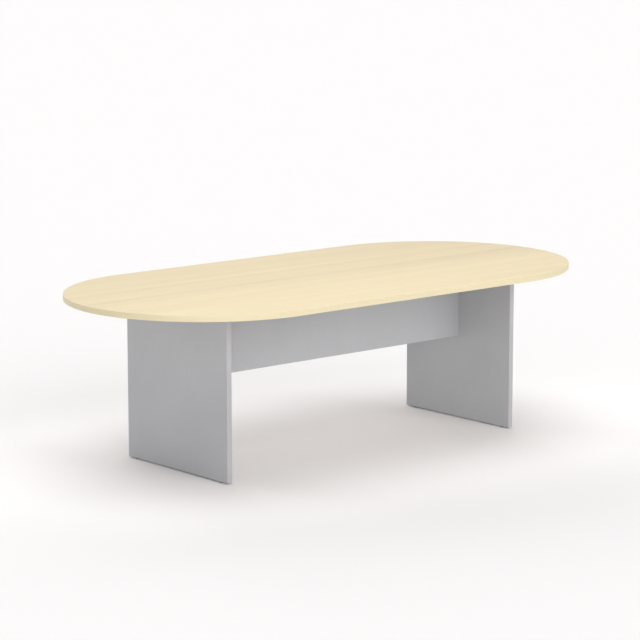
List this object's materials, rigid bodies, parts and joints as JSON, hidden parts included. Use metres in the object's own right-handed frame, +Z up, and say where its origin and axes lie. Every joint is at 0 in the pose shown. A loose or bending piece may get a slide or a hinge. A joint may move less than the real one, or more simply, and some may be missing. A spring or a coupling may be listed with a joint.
{
  "type": "conference table",
  "caption": "Racetrack-shaped conference table: pale wood-grain top with round ends on grey panel legs, braced by a modesty panel, standing on screw feet.",
  "frame": {"origin": "on the floor, under the middle of the top", "axes": "+X along the length of the table, -Y to the front, the side that the picture is taken from, +Z up"},
  "size_m": [2.5, 1.2, 0.74],
  "materials": {
    "maple_laminate": "satin wood-grain laminate on chipboard",
    "maple_edge_band": "satin wood-grain plastic edging",
    "silver_laminate": "matt silver-grey laminate on chipboard",
    "silver_edge_band": "matt silver-grey plastic edging",
    "zinc_fitting": "bright die-cast zinc",
    "plated_steel": "zinc-plated steel",
    "beech_dowel": "bare beech",
    "grey_nylon": "moulded grey nylon"
  },
  "bodies": {
    "table": {"top_panel": "maple_laminate", "top_edge_band": "maple_edge_band", "modesty_panel": "silver_laminate", "modesty_bottom_edge_band": "silver_edge_band", "left_leg_panel": "silver_laminate", "left_leg_front_edge_band": "silver_edge_band", "left_leg_rear_edge_band": "silver_edge_band", "left_leg_bottom_edge_band": "silver_edge_band", "modesty_left_upper_cam_bolt": "plated_steel", "modesty_left_upper_dowel": "beech_dowel", "modesty_left_lower_cam_bolt": "plated_steel", "modesty_left_lower_dowel": "beech_dowel", "left_leg_front_cam_bolt": "plated_steel", "left_leg_front_dowel": "beech_dowel", "left_leg_rear_cam_bolt": "plated_steel", "left_leg_rear_dowel": "beech_dowel", "modesty_top_left_cam_bolt": "plated_steel", "left_front_foot_insert": "zinc_fitting", "left_rear_foot_insert": "zinc_fitting", "right_leg_panel": "silver_laminate", "right_leg_front_edge_band": "silver_edge_band", "right_leg_rear_edge_band": "silver_edge_band", "right_leg_bottom_edge_band": "silver_edge_band", "modesty_right_upper_cam_bolt": "plated_steel", "modesty_right_upper_dowel": "beech_dowel", "modesty_right_lower_cam_bolt": "plated_steel", "modesty_right_lower_dowel": "beech_dowel", "right_leg_front_cam_bolt": "plated_steel", "right_leg_front_dowel": "beech_dowel", "right_leg_rear_cam_bolt": "plated_steel", "right_leg_rear_dowel": "beech_dowel", "modesty_top_right_cam_bolt": "plated_steel", "right_front_foot_insert": "zinc_fitting", "right_rear_foot_insert": "zinc_fitting"},
    "modesty_left_upper_cam": {"modesty_left_upper_cam": "zinc_fitting"},
    "modesty_left_lower_cam": {"modesty_left_lower_cam": "zinc_fitting"},
    "left_leg_front_cam": {"left_leg_front_cam": "zinc_fitting"},
    "left_leg_rear_cam": {"left_leg_rear_cam": "zinc_fitting"},
    "modesty_top_left_cam": {"modesty_top_left_cam": "zinc_fitting"},
    "left_front_foot_pad": {"left_front_foot_pad": "grey_nylon"},
    "left_front_foot_stud": {"left_front_foot_stud": "plated_steel"},
    "left_rear_foot_pad": {"left_rear_foot_pad": "grey_nylon"},
    "left_rear_foot_stud": {"left_rear_foot_stud": "plated_steel"},
    "modesty_right_upper_cam": {"modesty_right_upper_cam": "zinc_fitting"},
    "modesty_right_lower_cam": {"modesty_right_lower_cam": "zinc_fitting"},
    "right_leg_front_cam": {"right_leg_front_cam": "zinc_fitting"},
    "right_leg_rear_cam": {"right_leg_rear_cam": "zinc_fitting"},
    "modesty_top_right_cam": {"modesty_top_right_cam": "zinc_fitting"},
    "right_front_foot_pad": {"right_front_foot_pad": "grey_nylon"},
    "right_front_foot_stud": {"right_front_foot_stud": "plated_steel"},
    "right_rear_foot_pad": {"right_rear_foot_pad": "grey_nylon"},
    "right_rear_foot_stud": {"right_rear_foot_stud": "plated_steel"}
  },
  "joints": [
    {"name": "modesty_left_upper_cam_turn", "type": "hinge", "parent": "table", "child": "modesty_left_upper_cam", "pos_m": [-0.761, 0.009, 0.651], "axis": [0, 1, 0], "range_deg": [0, 180]},
    {"name": "modesty_left_lower_cam_turn", "type": "hinge", "parent": "table", "child": "modesty_left_lower_cam", "pos_m": [-0.761, 0.009, 0.444], "axis": [0, 1, 0], "range_deg": [0, 180]},
    {"name": "left_leg_front_cam_turn", "type": "hinge", "parent": "table", "child": "left_leg_front_cam", "pos_m": [-0.795, -0.275, 0.681], "axis": [1, 0, 0], "range_deg": [0, 180]},
    {"name": "left_leg_rear_cam_turn", "type": "hinge", "parent": "table", "child": "left_leg_rear_cam", "pos_m": [-0.795, 0.275, 0.681], "axis": [1, 0, 0], "range_deg": [0, 180]},
    {"name": "modesty_top_left_cam_turn", "type": "hinge", "parent": "table", "child": "modesty_top_left_cam", "pos_m": [-0.495, 0.009, 0.681], "axis": [0, 1, 0], "range_deg": [0, 180]},
    {"name": "left_front_foot_lift", "type": "slide", "parent": "table", "child": "left_front_foot_pad", "axis": [0, 0, -1], "range_m": [0, 0.0101]},
    {"name": "left_front_foot_turn", "type": "hinge", "parent": "left_front_foot_pad", "child": "left_front_foot_stud", "pos_m": [-0.8075, -0.285, 0.005], "axis": [0, 0, -1], "range_deg": [0, 2880]},
    {"name": "left_rear_foot_lift", "type": "slide", "parent": "table", "child": "left_rear_foot_pad", "axis": [0, 0, -1], "range_m": [0, 0.0101]},
    {"name": "left_rear_foot_turn", "type": "hinge", "parent": "left_rear_foot_pad", "child": "left_rear_foot_stud", "pos_m": [-0.8075, 0.285, 0.005], "axis": [0, 0, -1], "range_deg": [0, 2880]},
    {"name": "modesty_right_upper_cam_turn", "type": "hinge", "parent": "table", "child": "modesty_right_upper_cam", "pos_m": [0.761, 0.009, 0.651], "axis": [0, 1, 0], "range_deg": [0, 180]},
    {"name": "modesty_right_lower_cam_turn", "type": "hinge", "parent": "table", "child": "modesty_right_lower_cam", "pos_m": [0.761, 0.009, 0.444], "axis": [0, 1, 0], "range_deg": [0, 180]},
    {"name": "right_leg_front_cam_turn", "type": "hinge", "parent": "table", "child": "right_leg_front_cam", "pos_m": [0.795, -0.275, 0.681], "axis": [-1, 0, 0], "range_deg": [0, 180]},
    {"name": "right_leg_rear_cam_turn", "type": "hinge", "parent": "table", "child": "right_leg_rear_cam", "pos_m": [0.795, 0.275, 0.681], "axis": [-1, 0, 0], "range_deg": [0, 180]},
    {"name": "modesty_top_right_cam_turn", "type": "hinge", "parent": "table", "child": "modesty_top_right_cam", "pos_m": [0.495, 0.009, 0.681], "axis": [0, 1, 0], "range_deg": [0, 180]},
    {"name": "right_front_foot_lift", "type": "slide", "parent": "table", "child": "right_front_foot_pad", "axis": [0, 0, -1], "range_m": [0, 0.0101]},
    {"name": "right_front_foot_turn", "type": "hinge", "parent": "right_front_foot_pad", "child": "right_front_foot_stud", "pos_m": [0.8075, -0.285, 0.005], "axis": [0, 0, -1], "range_deg": [0, 2880]},
    {"name": "right_rear_foot_lift", "type": "slide", "parent": "table", "child": "right_rear_foot_pad", "axis": [0, 0, -1], "range_m": [0, 0.0101]},
    {"name": "right_rear_foot_turn", "type": "hinge", "parent": "right_rear_foot_pad", "child": "right_rear_foot_stud", "pos_m": [0.8075, 0.285, 0.005], "axis": [0, 0, -1], "range_deg": [0, 2880]}
  ],
  "couplings": [
    {"joint": "left_front_foot_lift", "follows": "left_front_foot_turn", "m_per_rad": 0.00019894},
    {"joint": "left_rear_foot_lift", "follows": "left_rear_foot_turn", "m_per_rad": 0.00019894},
    {"joint": "right_front_foot_lift", "follows": "right_front_foot_turn", "m_per_rad": 0.00019894},
    {"joint": "right_rear_foot_lift", "follows": "right_rear_foot_turn", "m_per_rad": 0.00019894}
  ]
}
